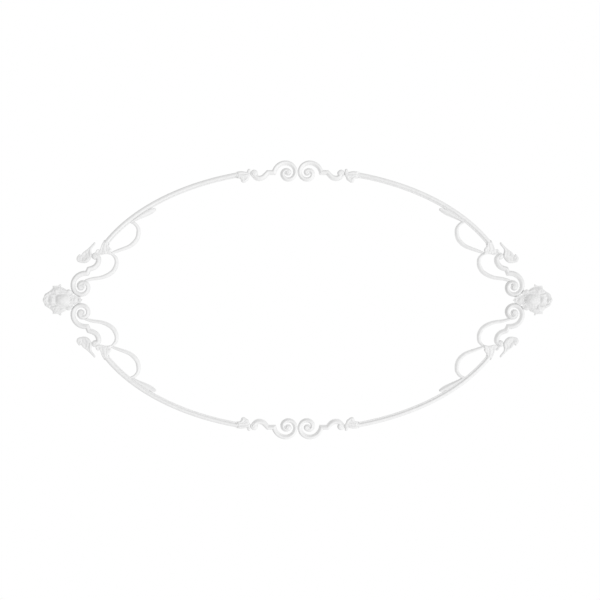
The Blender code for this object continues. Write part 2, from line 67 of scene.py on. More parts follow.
# Scroll ribbons
RIBBON_WIDTH = 0.0212
RIBBON_DEPTH = 0.0145
DEGREES_PER_STEP = 3
STRAIGHT_STEP = 0.004     # longest step along a straight run
MITRE_LIMIT = 0.5
CREST_SHIFT = 0.34        # furthest lean of a ribbon's crest, as a share of its half width
FLANK_STEPS = 14
FILLET_PLACE = 0.80       # the fine groove beside each edge: place, width and depth as shares
FILLET_WIDTH = 0.07
FILLET_GROOVE = 0.07
LEAN_TURNS_FROM = 0.25
LEAN_TURNS_TO = 0.62
TOP_LEAN = (-0.8, 0.8)    # before the volute and at its end
END_LEAN = (0.6, -0.9)
VINE_LEAN = -0.6
TOP_EDGES = (0.30, 0.36)  # heights of the two edges as shares of the depth
END_EDGES = (0.58, 0.30)
VINE_EDGES = (0.42, 0.54)
LEAF_LEAN = -0.9
LEAF_EDGES = (0.92, 0.36)

# Eyes of the scrolls: heights as shares of the depth, places and widths as shares of the radius
EYE_DEPTH = 0.0165
EYE_RINGS = 20
EYE_SPOKES = 72
EYE_RIM = 0.36
EYE_SWELL = 0.58
EYE_SWELL_POWER = 2.2
EYE_TIP = 0.90
EYE_DIMPLE = 0.10
EYE_DIMPLE_WIDTH = 0.15
EYE_GROOVE = 0.24
EYE_GROOVE_WIDTH = 0.095
EYE_GROOVE_CLOSING = 0.62   # how far the groove winds in from the rim
EYE_GROOVE_FADE = 3         # it fades over its last third
EYE_GROOVE_LEAD = 60        # degrees between the ribbon's end and the groove's start
CURL_SWEEP = 330            # degrees that the groove turns through in the small curl
EYE_SWEEP = 400             # and in the volute

# Top scroll
TOP_CURL_RADIUS = 0.0259
TOP_CURL_WIDTH = 0.0237
TOP_HOOK_RADIUS = 0.0332
TOP_HOOK_WIDTH = 0.0229
TOP_HOOK_TURN = 47
TOP_HOOK_RUN = 0.0200
TOP_BREAK_LENGTH = 0.0265
TOP_VOLUTE_START = 3
TOP_VOLUTE_RADIUS = 0.0570
TOP_VOLUTE_CLOSING = (0.773,) * 6
TOP_VOLUTE_WIDTHS = (0.0207, 0.0203, 0.0190, 0.0186, 0.0181, 0.0138, 0.0117)
TOP_VOLUTE_TURN = 486
TOP_EYE_RADIUS = 0.0149
TOP_EYE_SHARE = 0.42
TOP_CURL_DROP = 0.0044
TOP_CURL_EYE_RADIUS = 0.0164
TOP_CURL_EYE_SHIFT = 0.0046

# End scroll
END_CURL_RADIUS = 0.0155
END_CURL_WIDTH = 0.0229
END_HOOK_RADIUS = 0.0389
END_HOOK_WIDTH = 0.0225
END_HOOK_TURN = 74
END_HOOK_RUN = 0.0142
END_BREAK_LENGTH = 0.0200
END_BREAK_TURN = 50
END_VOLUTE_START = 100
END_VOLUTE_RADIUS = 0.0598
END_VOLUTE_RUN = 0.0112
END_VOLUTE_CLOSING = (0.664, 0.831, 0.824, 0.810, 0.740)
END_VOLUTE_WIDTHS = (0.0229, 0.0212, 0.0199, 0.0186, 0.0173, 0.0138)
END_VOLUTE_TURN = 460
END_EYE_RADIUS = 0.0158
END_EYE_SHARE = 0.31
END_CURL_EYE_RADIUS = 0.0152
END_CURL_EYE_SHIFT = 0.0007

# Husks, wing leaf, vine and leaf spray. A wall is the height of a carved rim as a share of the depth.
HUSK_LENGTH = 0.0590
HUSK_DEPTH = 0.0180
TOP_HUSK_WALL = 0.50
TOP_HUSK_ROUNDING = 0.0065
END_HUSK_WALL = 0.44
END_HUSK_ROUNDING = 0.0072
END_HUSK_RISE = 0.0626
END_HUSK_SIDE = 0.0503
END_HUSK_INSET = 0.0126
WING_LENGTH = 0.1100
WING_DEPTH = 0.0165
WING_WALL = 0.28
WING_ROUNDING = 0.0130
WING_TIP = (0.0004, 0.0583)
VINE_WIDTH = 0.0160
VINE_DEPTH = 0.0090
VINE_STEPS_PER_SPAN = 9
VINE_SPRING = (-0.0147, 0.0302)
VINE_CUSP = (-0.0216, -0.0515)
VINE_REACH = 0.0821
VINE_INSET = 0.0350
LEAF_LENGTH = 0.1045
LEAF_SPRING = 0.0109
LEAF_WIDTH = 0.0203
LEAF_DEPTH = 0.0110
LEAF_STEPS = 60
LEAF_TIP_STEPS = 8          # steps over which each end of the spray tapers down
LEAF_TIP_HEIGHT = 0.45      # as a share of the depth

# Cartouche, with heights as shares of the depth and places as shares of the length
CARTOUCHE_LENGTH = 0.1706
CARTOUCHE_DEPTH = 0.0320
CARTOUCHE_FROM_VOLUTE = 0.0877
CARTOUCHE_WALL = 0.42
CARTOUCHE_CROWN = 0.58
CARTOUCHE_ROUNDING = 0.0130
CARTOUCHE_ROUNDING_POWER = 1.5
CARTOUCHE_LEAST = 0.10
TAIL_SINKS = 0.17
TAIL_FROM = -0.16
TAIL_RUN = 0.14
BOSS_POWER = 1.15

# Cutting blocks, which trim a piece where its neighbour lies
CUT_ABOVE = 0.010
CUT_BELOW = 0.060
CUT_SIDES = 48

# Mesh of the carved reliefs: rows of points along the rim, then a grid with a margin to them
RELIEF_SPACING = 0.0016
RIM_STEPS = (0.0005, 0.0012, 0.0021)
RIM_ROW_KEEPS = 0.93        # share of its distance from the outline that a row's point must have
GRID_ROW = 0.866            # shares of the spacing
GRID_MARGIN = 0.6
STROKE_STEPS = 4
SMOOTH_TURN = 33            # an outline is smooth at corners up to this turn, in degrees
CREASE_TURN = 88            # and creased from this one
SHARP_ANGLE = 42
MERGE = 1e-7
SLIVER = 0.000005

# Carving: heights as shares of the depth, and how a stroke fades in from the rim
CARVED_CROWN = 0.86
CARVED_LEAST = 0.16
STROKE_AT_RIM = 0.25
STROKE_FULL_FROM = 0.5

# Outlines as shares of the piece's own length
TOP_HUSK_OUTLINE = (
    (-0.053, 0.225), (0.26, 0.282), (0.555, 0.26), (0.705, 0.217), (0.772, 0.308), (0.794, 0.391),
    (0.87, 0.451), (0.985, 0.431), (1.0, 0.282), (1.01, 0.067), (1.0, -0.058), (0.933, -0.128),
    (0.888, -0.267), (0.841, -0.366), (0.716, -0.441), (0.591, -0.539), (0.467, -0.555),
    (0.358, -0.507), (0.312, -0.408), (0.243, -0.257), (0.048, -0.238), (-0.03, -0.233))
END_HUSK_OUTLINE = (
    (0.13, 0.135), (0.215, 0.075), (0.285, -0.043), (0.388, -0.255), (0.446, -0.438), (0.499, -0.585),
    (0.665, -0.55), (0.783, -0.655), (0.82, -0.803), (0.766, -0.891), (0.584, -0.949), (0.418, -0.987),
    (0.32, -0.964), (0.146, -0.918), (-0.036, -0.91), (-0.198, -0.945), (-0.325, -0.985),
    (-0.335, -0.86), (-0.29, -0.765), (-0.307, -0.69), (-0.322, -0.59), (-0.258, -0.469),
    (-0.177, -0.371), (-0.156, -0.301), (-0.191, -0.146), (-0.03, 0.01))
WING_OUTLINE = (
    (-0.012, -0.007), (0.031, 0.017), (0.154, -0.113), (0.302, -0.255), (0.401, -0.328),
    (0.491, -0.404), (0.532, -0.473), (0.562, -0.509), (0.587, -0.463), (0.63, -0.454), (0.665, -0.51),
    (0.708, -0.551), (0.729, -0.63), (0.717, -0.691), (0.692, -0.737), (0.638, -0.771),
    (0.544, -0.793), (0.434, -0.806), (0.333, -0.789), (0.26, -0.744), (0.204, -0.691),
    (0.158, -0.615), (0.123, -0.55), (0.118, -0.471), (0.153, -0.334), (0.131, -0.236), (0.0, -0.065))
CARTOUCHE_HALF_OUTLINE = (
    (0.476, 0.0), (0.443, 0.094), (0.42, 0.149), (0.349, 0.192), (0.254, 0.266), (0.23, 0.303),
    (0.228, 0.359), (0.159, 0.356), (0.079, 0.366), (0.038, 0.399), (0.018, 0.38), (0.019, 0.331),
    (-0.027, 0.312), (-0.082, 0.283), (-0.117, 0.25), (-0.18, 0.268), (-0.23, 0.243), (-0.271, 0.215),
    (-0.3, 0.165), (-0.335, 0.111), (-0.382, 0.094), (-0.468, 0.081), (-0.478, 0.048), (-0.524, 0.0))

# Carving of the reliefs. Each stroke is a height and a width as shares of the piece's depth and
# length, then the points it follows as shares of the length. A negative height cuts in.
TOP_HUSK_CARVING = (
    (-0.3, 0.06, (-0.02, 0.2), (0.02, 0.1)),
    (-0.4, 0.06, (0.03, -0.14), (0.00, -0.24)),
    (-0.07, 0.045, (0.09, 0.08), (0.09, -0.1)),
    (0.08, 0.05, (0.18, 0.14), (0.42, 0.17), (0.66, 0.16)),
    (0.08, 0.045, (0.18, -0.03), (0.36, -0.05), (0.56, -0.06), (0.72, -0.03)),
    (0.08, 0.045, (0.3, -0.18), (0.42, -0.28), (0.48, -0.42)),
    (-0.1, 0.03, (0.17, 0.06), (0.4, 0.06), (0.62, 0.05), (0.78, 0.06)),
    (-0.1, 0.03, (0.2, -0.1), (0.38, -0.15), (0.52, -0.22), (0.6, -0.32)),
    (-0.08, 0.028, (0.52, -0.12), (0.66, -0.18), (0.76, -0.2)),
    (-0.12, 0.035, (0.72, 0.2), (0.8, 0.15), (0.93, 0.12)),
    (0.12, 0.085, (0.88, 0.31),),
    (-0.14, 0.032, (0.87, 0.29),),
    (-0.14, 0.034, (0.37, -0.38),),
    (-0.1, 0.03, (0.3, 0.22),),
    (-0.1, 0.03, (0.5, 0.23),),
    (0.07, 0.045, (0.6, -0.4), (0.72, -0.3), (0.8, -0.14)))
END_HUSK_CARVING = (
    (-0.9, 0.08, (0.16, 0.09), (0.1, 0.08)),
    (-0.5, 0.07, (-0.165, -0.02), (-0.14, -0.18)),
    (-0.07, 0.045, (0.09, 0.04), (-0.06, -0.06)),
    (0.07, 0.07, (0.12, -0.12), (0.15, -0.32), (0.2, -0.52)),
    (-0.06, 0.03, (0.05, -0.14), (0.06, -0.32), (0.06, -0.54)),
    (-0.06, 0.028, (0.26, -0.2), (0.31, -0.36), (0.38, -0.54)),
    (-0.05, 0.028, (-0.09, -0.34), (-0.13, -0.46), (-0.18, -0.56)),
    (0.1, 0.11, (0.18, -0.72),),
    (-0.16, 0.032, (0.05, -0.66),),
    (-0.16, 0.032, (0.31, -0.66),),
    (-0.16, 0.032, (0.19, -0.83),),
    (-0.1, 0.03, (0.18, -0.71),),
    (-0.12, 0.03, (0.38, -0.85),),
    (-0.12, 0.03, (-0.02, -0.82),),
    (0.12, 0.08, (0.7, -0.68),),
    (-0.12, 0.03, (0.6, -0.78), (0.56, -0.66)),
    (0.12, 0.07, (-0.22, -0.6),),
    (-0.05, 0.03, (-0.1, -0.66), (-0.17, -0.74)))
WING_CARVING = (
    (0.09, 0.026, (0.165, -0.54), (0.192, -0.45), (0.208, -0.34), (0.19, -0.27)),
    (-0.07, 0.024, (0.23, -0.56), (0.245, -0.45), (0.25, -0.34), (0.232, -0.28)),
    (0.26, 0.07, (0.61, -0.62),),
    (-0.14, 0.022, (0.61, -0.612),),
    (-0.22, 0.018, (0.568, -0.485), (0.556, -0.52)),
    (-0.08, 0.022, (0.53, -0.56), (0.505, -0.64), (0.515, -0.7)),
    (-0.09, 0.016, (0.25, -0.69), (0.33, -0.742), (0.44, -0.762), (0.56, -0.748)),
    (-0.06, 0.024, (0.39, -0.38), (0.37, -0.48)),
    (0.06, 0.024, (0.33, -0.38), (0.32, -0.48)),
    (-0.06, 0.024, (0.34, -0.58), (0.39, -0.64)),
    (0.05, 0.024, (0.3, -0.62), (0.35, -0.69)))
CARTOUCHE_CARVING = (   # of one half, which the other half mirrors
    (0.07, 0.036, (0.449, 0.0), (0.429, 0.076), (0.391, 0.127), (0.31, 0.167), (0.259, 0.192)),
    (-0.1, 0.03, (0.34, 0.0), (0.343, 0.056), (0.312, 0.109)),
    (-0.07, 0.018, (0.426, 0.035), (0.394, 0.086), (0.328, 0.116)),
    (-0.06, 0.033, (0.145, 0.0), (0.15, 0.061), (0.125, 0.111)),
    (0.06, 0.016, (0.257, 0.134), (0.214, 0.132), (0.155, 0.116), (0.1, 0.104)),
    (-0.11, 0.02, (0.28, 0.175), (0.259, 0.154), (0.216, 0.152), (0.166, 0.142)),
    (-0.06, 0.022, (0.09, 0.109), (-0.037, 0.144), (-0.133, 0.154), (-0.209, 0.132)),
    (-0.05, 0.016, (0.029, 0.21), (-0.065, 0.2), (-0.148, 0.175)),
    (0.05, 0.02, (0.044, 0.177), (-0.057, 0.175), (-0.138, 0.162)),
    (-0.07, 0.02, (0.08, 0.203),),
    (-0.06, 0.018, (0.176, 0.213), (0.186, 0.251), (0.145, 0.279), (0.105, 0.263)),
    (0.05, 0.026, (0.181, 0.329), (0.107, 0.334), (0.029, 0.36)),
    (-0.12, 0.024, (0.205, 0.32), (0.11, 0.322), (0.045, 0.34)),
    (0.05, 0.03, (0.006, 0.256), (-0.075, 0.238), (-0.133, 0.223)),
    (-0.05, 0.018, (-0.037, 0.273), (-0.093, 0.258)),
    (0.05, 0.028, (-0.164, 0.241), (-0.224, 0.235), (-0.265, 0.192)),
    (0.06, 0.017, (-0.224, 0.028),),
    (0.06, 0.017, (-0.224, 0.101),),
    (-0.07, 0.016, (-0.224, 0.0),),
    (-0.07, 0.016, (-0.222, 0.063),),
    (-0.06, 0.018, (-0.232, 0.142), (-0.25, 0.152)),
    (-0.03, 0.02, (-0.295, 0.0), (-0.305, 0.046), (-0.354, 0.063), (-0.397, 0.046), (-0.412, 0.0)),
    (-0.03, 0.018, (-0.427, 0.041),))
# Bosses: place, radii along x and y, and how far they rise from the plate, as shares
CARTOUCHE_BOSSES = (
    (-0.02, 0.0, 0.205, 0.17, 0.4), (0.235, 0.0, 0.09, 0.125, 0.08),
    (0.237, 0.0, 0.06, 0.07, 0.12), (0.145, 0.215, 0.1, 0.095, 0.13),
    (-0.32, 0.0, 0.075, 0.08, 0.1), (-0.448, 0.0, 0.03, 0.032, 0.1),
    (-0.195, 0.215, 0.055, 0.045, 0.08))
CARTOUCHE_HOLE = (-0.295, 0.139)       # opening between the plate and each volute
CARTOUCHE_HOLE_RADIUS = 0.0052

# Tilts: direction across the form, the place along it where it begins to sink, and how much of its
# depth it loses per length from there
NO_TILT = (0.0, 0.0, 0.0, 0.0)
WING_TILT = (0.78, 0.62, -0.24, 1.8)
END_HUSK_TILT = (0.95, -0.15, -0.25, 0.34)

# Loops of the vine and stations of the leaf spray
FIRST_LOOP = (
    (-0.015, 0.012, 0.75), (0.166, 0.12, 0.92), (0.33, 0.244, 0.98), (0.5, 0.325, 1.12),
    (0.67, 0.357, 1.17), (0.811, 0.327, 1.18), (0.914, 0.264, 1.03), (0.99, 0.155, 0.95),
    (0.998, -0.02, 0.6))
SECOND_LOOP = (
    (0.0, -0.018, 0.55), (0.12, 0.076, 0.82), (0.281, 0.209, 0.96), (0.425, 0.317, 1.05),
    (0.581, 0.376, 1.2), (0.73, 0.386, 1.18), (0.865, 0.342, 1.14), (0.98, 0.262, 1.0),
    (1.036, 0.125, 0.85), (1.022, -0.005, 0.65))
LEAF_STATIONS = (
    (0.0, 0.3, 0.0), (0.2, 0.52, 0.0), (0.42, 0.82, 0.0), (0.63, 1.04, 0.0), (0.76, 1.06, 0.04),
    (0.88, 0.9, 0.15), (0.97, 0.6, 0.32), (1.0, 0.2, 0.52))

QUARTERS = {"upper_left": (-1, -1), "upper_right": (1, -1), "lower_left": (-1, 1),
            "lower_right": (1, 1)}
ENDS = {"left": (-1, 1), "right": (1, 1)}

# Finishes: the record's slot, the material's name, its light and dark tone, the noise scale of its
# mottling, the coarseness of its grain, and how uneven the cast is in metres
FINISHES = {
    "top_scroll": ("scroll_white", "scroll_white", 0.885, 0.83, 42.0, 1.0, 0.0008),
    "end_scroll": ("scroll_white", "end_white", 0.85, 0.79, 42.0, 1.0, 0.0015),
    "arc": ("bar_white", "bar_white", 0.885, 0.80, 120.0, 1.3, 0.0012),
    "wing_leaf": ("leaf_white", "leaf_white", 0.84, 0.77, 60.0, 1.0, 0.0030),
    "vine": ("vine_white", "vine_white", 0.865, 0.80, 80.0, 1.0, 0.0012),
    "cartouche": ("cartouche_white", "cartouche_white", 0.845, 0.765, 90.0, 1.3, 0.0052),
}

# Primer: specks, painted shade that darkens its hollows and creases, and roughness
MOTTLE_DETAIL = 4.0
MOTTLE_ROUGHNESS = 0.62
MOTTLE_RANGE = (0.32, 0.68)
SPECK_SCALE = 410.0
SPECK_DETAIL = 2.0
SPECK_RANGE = (0.60, 0.74)
SPECK_SHARE = 0.16
SPECK_TONE = 0.66
# Painted shade in hollows and creases: reach and samples of the occlusion test, the range it is read over,
# how far it darkens, and the grey it darkens towards
PAINTED_SHADE_REACH = 0.004
PAINTED_SHADE_SAMPLES = 8
PAINTED_SHADE_RANGE = (0.30, 0.95)
PAINTED_SHADE_SHARE = 0.36
PAINTED_SHADE_TONE = 0.60
ROUGH_SCALE = 75.0
ROUGH_DETAIL = 3.0
ROUGH_RANGE = (0.3, 0.7)
ROUGHNESS = (0.50, 0.70)
SPECULAR = 0.35

# Bumps of the primer: noise scale, detail and strength, then the heights of the two finer ones
UNEVEN_BUMP = (105.0, 2.0, 0.6)
BROAD_BUMP = (230.0, 3.0, 0.45)
FINE_BUMP = (1300.0, 2.0, 0.35)
BROAD_HEIGHT = 0.0009
FINE_HEIGHT = 0.00022

# Camera straight below the medallion, with a pale floor below it
CAMERA_LENS = 200
CAMERA_SENSOR = 36
CAMERA_PLACE = (0.0104, 0.0004, -14.407)
CAMERA_REACH = 200
FLOOR_DROP = -19.0
FLOOR_SIZE = 90.0
FLOOR_COLOUR = (0.90, 0.90, 0.89, 1)
FLOOR_ROUGHNESS = 0.9

# Light: the surround as it is seen and as it glows, then each lamp's direction, strength and softness
WHITE = (1, 1, 1, 1)
SEEN_STRENGTH = 1.0
GLOW_STRENGTH = 0.70
LAMPS = {
    "key": ((0.62, 0.28, -0.73), 1.30, 30),
    "top_fill": ((-0.2, -0.3, 0.93), 0.8, 40),
}


class Route:
    """A line in plan made of arcs, straight runs, corners and a volute, with a width at each point."""

    def __init__(self, x, y, heading, width):
        self.x = x
        self.y = y
        self.heading = math.radians(heading)
        self.width = width
        self.points = [(x, y, width)]

    def step_to(self, x, y, width):
        self.x = x
        self.y = y
        self.points.append((x, y, width))

    def line(self, length, width):
        steps = math.ceil(length / STRAIGHT_STEP)
        start_width = self.width
        for step in range(1, steps + 1):
            self.step_to(self.x + length / steps * math.cos(self.heading),
                         self.y + length / steps * math.sin(self.heading),
                         start_width + (width - start_width) * step / steps)
        self.width = width

    def corner(self, turn):
        self.heading += math.radians(turn)

    def arc(self, radius, turn, width):
        """Positive turns go left."""
        side = math.copysign(1.0, turn)
        centre_x = self.x - side * radius * math.sin(self.heading)
        centre_y = self.y + side * radius * math.cos(self.heading)
        steps = math.ceil(abs(turn) / DEGREES_PER_STEP)
        start_width = self.width
        for step in range(1, steps + 1):
            angle = self.heading + math.radians(turn) * step / steps
            self.step_to(centre_x + side * radius * math.sin(angle),
                         centre_y - side * radius * math.cos(angle),
                         start_width + (width - start_width) * step / steps)
        self.heading += math.radians(turn)
        self.width = width

    def eye(self, centre, share, radius):
        """The volute's eye, at a share of the way from the centre to the ribbon's end."""
        return (centre[0] + (self.x - centre[0]) * share, centre[1] + (self.y - centre[1]) * share, radius)

    def volute(self, start_angle, side, radius, closing, widths, turn):
        """Winds in round a centre, closing by a share each quarter turn, and returns the centre."""
        logs = [math.log(radius)]
        for share in closing:
            logs.append(logs[-1] + math.log(share))
        start = math.radians(start_angle)
        centre_x = self.x - radius * math.cos(start)
        centre_y = self.y - radius * math.sin(start)
        steps = math.ceil(turn / DEGREES_PER_STEP)
        for step in range(1, steps + 1):
            quarters = turn / 90.0 * step / steps
            angle = start + side * math.radians(90.0 * quarters)
            here = math.exp(smooth_value(logs, quarters))
            self.step_to(centre_x + here * math.cos(angle), centre_y + here * math.sin(angle),
                         smooth_value(widths, quarters))
        return centre_x, centre_y


def eased(low, high, slope_low, slope_high, share):
    """A smooth curve from low to high with a given slope at each."""
    return ((2 * share ** 3 - 3 * share ** 2 + 1) * low + (share ** 3 - 2 * share ** 2 + share) * slope_low
            + (3 * share ** 2 - 2 * share ** 3) * high + (share ** 3 - share ** 2) * slope_high)


def smooth_value(values, place):
    """The value at a fractional place in a list, on a smooth curve through its entries."""
    low = min(int(place), len(values) - 2)
    before = values[low - 1] if low > 0 else 2 * values[low] - values[low + 1]
    after = values[low + 2] if low + 2 < len(values) else 2 * values[low + 1] - values[low]
    return eased(values[low], values[low + 1], (values[low + 1] - before) / 2,
                 (after - values[low]) / 2, place - low)


def smooth_line(knots, steps_per_span):
    """Points with widths on a smooth curve through the knots (x, y, width)."""
    spans = len(knots) - 1
    columns = list(zip(*knots))
    places = [index / steps_per_span for index in range(spans * steps_per_span + 1)]
    return [tuple(smooth_value(column, place) for column in columns) for place in places]


def edge_normals(points):
    """Unit normals to the left of the line at each point, lengthened at corners to keep the width."""
    headings = [math.atan2(after[1] - point[1], after[0] - point[0])
                for point, after in zip(points, points[1:])]
    normals = []
    for into, out in zip(headings[:1] + headings, headings + headings[-1:]):
        half = math.remainder(out - into, math.tau) / 2
        stretch = 1 / max(math.cos(half), MITRE_LIMIT)
        normals.append((-math.sin(into + half) * stretch, math.cos(into + half) * stretch))
    return normals


def shifted(points, dx, dy):
    """The points of a ribbon, or its eyes, moved in plan; the third value of each is its size."""
    return [(x + dx, y + dy, size) for x, y, size in points]


def lowest(points, axis):
    """Lowest reach of a ribbon's edges along x (0) or y (1)."""
    return min(point[axis] - abs(normal[axis]) * point[2] / 2
               for point, normal in zip(points, edge_normals(points)))


def oval_x(y):
    return OVAL_LENGTH / 2 * math.sqrt(1 - (2 * y / OVAL_WIDTH) ** 2)


def oval_y(x):
    return OVAL_WIDTH / 2 * math.sqrt(1 - (2 * x / OVAL_LENGTH) ** 2)


def oval_point(angle, inset):
    x = OVAL_LENGTH / 2 * math.cos(angle)
    y = OVAL_WIDTH / 2 * math.sin(angle)
    lean = math.hypot(x / OVAL_LENGTH ** 2, y / OVAL_WIDTH ** 2)
    return (x - inset * x / OVAL_LENGTH ** 2 / lean, y - inset * y / OVAL_WIDTH ** 2 / lean)


def bar_line(x_top, y_end):
    """Middle line of the curved bar from its end neck to its top neck."""
    low = math.asin(2 * y_end / OVAL_WIDTH)
    high = math.acos(2 * x_top / OVAL_LENGTH)
    return [oval_point(low + (high - low) * step / BAR_STEPS, BAR_WIDTH / 2) + (BAR_WIDTH,)
            for step in range(BAR_STEPS + 1)]


def chord_line(start, end, loop):
    """A smooth looping line between two points, from its shares along and beside their chord."""
    dx = end[0] - start[0]
    dy = end[1] - start[1]
    knots = [(start[0] + along * dx - beside * dy, start[1] + along * dy + beside * dx,
              wide * VINE_WIDTH) for along, beside, wide in loop]
    return smooth_line(knots, VINE_STEPS_PER_SPAN)


def leaf_line(end):
    """Middle line and widths of the leaf spray that leans on the bar's inner edge."""
    start_x = end[0] + LEAF_SPRING
    line = []
    for step in range(LEAF_STEPS + 1):
        place = (len(LEAF_STATIONS) - 1) * step / LEAF_STEPS
        along, wide, gap = (smooth_value(column, place) for column in zip(*LEAF_STATIONS))
        angle = math.acos(2 * (start_x - along * LEAF_LENGTH) / OVAL_LENGTH)
        inset = BAR_WIDTH - BEDDING + (gap + wide / 2) * LEAF_WIDTH
        line.append(oval_point(angle, inset) + (wide * LEAF_WIDTH,))
    return line


def curl_eye(heading, side, shift, radius):
    """A small curl's eye, a little ahead of the ribbon's start at the origin and to its curling side."""
    ahead = math.radians(heading)
    across = ahead + side * math.pi / 2
    return (shift * (math.cos(ahead) + math.cos(across)), shift * (math.sin(ahead) + math.sin(across)),
            radius)


def top_scroll_plan(lowest_x):
    """Line and eyes of the top scroll, and the place along x of the husk's neck.

    The ribbon starts at the origin, and then all of it moves to where the solid and the oval are.
    """
    route = Route(0.0, 0.0, 270, RIBBON_WIDTH)
    curl = curl_eye(270, -1, TOP_CURL_EYE_SHIFT, TOP_CURL_EYE_RADIUS)
    route.arc(TOP_CURL_RADIUS, -90, TOP_CURL_WIDTH)
    route.arc(TOP_HOOK_RADIUS, -TOP_HOOK_TURN, TOP_HOOK_WIDTH)
    route.line(TOP_HOOK_RUN, RIBBON_WIDTH)
    route.corner(TOP_HOOK_TURN)
    route.line(TOP_BREAK_LENGTH, RIBBON_WIDTH)
    route.corner(-90)
    centre = route.volute(TOP_VOLUTE_START, 1, TOP_VOLUTE_RADIUS, TOP_VOLUTE_CLOSING,
                          TOP_VOLUTE_WIDTHS, TOP_VOLUTE_TURN)
    eye = route.eye(centre, TOP_EYE_SHARE, TOP_EYE_RADIUS)
    dx = lowest_x - lowest(route.points, 0)
    neck_x = curl[0] + dx + TOP_CURL_EYE_RADIUS + HUSK_LENGTH
    dy = oval_y(neck_x) - TOP_CURL_DROP - curl[1]
    return shifted(route.points, dx, dy), shifted([curl, eye], dx, dy), neck_x


def end_scroll_plan(lowest_y):
    """Line and eyes of the end scroll, the place along y of the husk's neck, and the volute's centre."""
    route = Route(0.0, 0.0, 180, RIBBON_WIDTH)
    curl = curl_eye(180, 1, END_CURL_EYE_SHIFT, END_CURL_EYE_RADIUS)
    route.arc(END_CURL_RADIUS, 90, END_CURL_WIDTH)
    route.arc(END_HOOK_RADIUS, END_HOOK_TURN, END_HOOK_WIDTH)
    route.line(END_HOOK_RUN, RIBBON_WIDTH)
    route.corner(-END_BREAK_TURN)
    route.line(END_BREAK_LENGTH, RIBBON_WIDTH)
    route.corner(END_BREAK_TURN + 90 - END_HOOK_TURN)
    route.line(END_VOLUTE_RUN, END_VOLUTE_WIDTHS[0])
    centre = route.volute(END_VOLUTE_START, -1, END_VOLUTE_RADIUS, END_VOLUTE_CLOSING,
                          END_VOLUTE_WIDTHS, END_VOLUTE_TURN)
    eye = route.eye(centre, END_EYE_SHARE, END_EYE_RADIUS)
    dy = lowest_y - lowest(route.points, 1)
    neck_y = curl[1] + dy + END_HUSK_RISE
    dx = oval_x(neck_y) - END_HUSK_INSET + END_HUSK_SIDE - curl[0]
    return (shifted(route.points, dx, dy), shifted([curl, eye], dx, dy), neck_y,
            (centre[0] + dx, centre[1] + dy))


def flank(away, hollow, low):
    """Height of a moulding's side from its crest (0) to its edge (1), round or hollowed out."""
    rounded = math.sqrt(1 - away ** 2)
    hollowed = (1 + math.cos(math.pi * away)) / 2
    return low + (1 - low) * (rounded * (1 - hollow) + hollowed * hollow)


def fillet_groove(across):
    return FILLET_GROOVE * math.exp(-((abs(across) - FILLET_PLACE) / FILLET_WIDTH) ** 2)


def leaning_section(lean, left_edge, right_edge):
    """A section whose crest leans to one side, with a fillet marked off by a fine groove at each edge."""
    crest = lean * CREST_SHIFT
    section = [(-1.0, 0.0)]
    for step in range(FLANK_STEPS + 1):
        away = math.cos(math.pi / 2 * step / FLANK_STEPS)
        section.append((crest - (1 + crest) * away, flank(away, (1 + lean) / 2, left_edge)))
    for step in range(1, FLANK_STEPS + 1):
        away = math.sin(math.pi / 2 * step / FLANK_STEPS)
        section.append((crest + (1 - crest) * away, flank(away, (1 - lean) / 2, right_edge)))
    section.append((1.0, 0.0))
    return [(across, down - fillet_groove(across) if down else down) for across, down in section]


def bar_section():
    """The bar's section: a crown near the outer edge, a hollow, and a small bead along the inner edge."""
    section = [(-1.0, 0.0)]
    for step in range(FLANK_STEPS + 1):
        away = math.cos(math.pi / 2 * step / FLANK_STEPS)
        section.append((BAR_CREST - (1 + BAR_CREST) * away, flank(away, BAR_OUTER_HOLLOW, BAR_EDGE)))
    for step in range(1, FLANK_STEPS + 1):
        away = step / FLANK_STEPS
        section.append((BAR_CREST + (BAR_BEAD_START - BAR_CREST) * away,
                        flank(away, BAR_INNER_HOLLOW, BAR_QUIRK_HEIGHT)))
    for step in range(1, FLANK_STEPS + 1):
        turn = math.pi * step / FLANK_STEPS
        low = BAR_QUIRK_HEIGHT if turn < math.pi / 2 else BAR_EDGE
        section.append((BAR_BEAD_START + (1 - BAR_BEAD_START) * (1 - math.cos(turn)) / 2,
                        low + (BAR_BEAD_HEIGHT - low) * math.sin(turn)))
    section.append((1.0, 0.0))
    return section


def leans(count, winding, first, last):
    """Leans along a scroll: steady up to its volute, then passing over to the other side."""
    values = []
    for index in range(count):
        turned = (index - (count - winding)) / winding
        share = min(max((turned - LEAN_TURNS_FROM) / (LEAN_TURNS_TO - LEAN_TURNS_FROM), 0.0), 1.0)
        values.append(first + (last - first) * share * share * (3 - 2 * share))
    return values


def mesh_object(name, points, faces):
    """A closed solid with its faces pointing out."""
    mesh = bpy.data.meshes.new(name)
    mesh.from_pydata([tuple(point) for point in points], [], faces)
    shape = bmesh.new()
    shape.from_mesh(mesh)
    bmesh.ops.recalc_face_normals(shape, faces=shape.faces)
    shape.to_mesh(mesh)
    shape.free()
    made = bpy.data.objects.new(name, mesh)
    bpy.context.scene.collection.objects.link(made)
    return made


def ring_faces(rings, count):
    """Faces that join rings of points, one after the other, and close both ends."""
    faces = []
    for ring in range(rings - 1):
        for side in range(count):
            after = (side + 1) % count
            low = ring * count
            faces.append((low + side, low + after, low + count + after, low + count + side))
    faces.append(tuple(range(count)))
    faces.append(tuple(range((rings - 1) * count, rings * count)))
    return faces


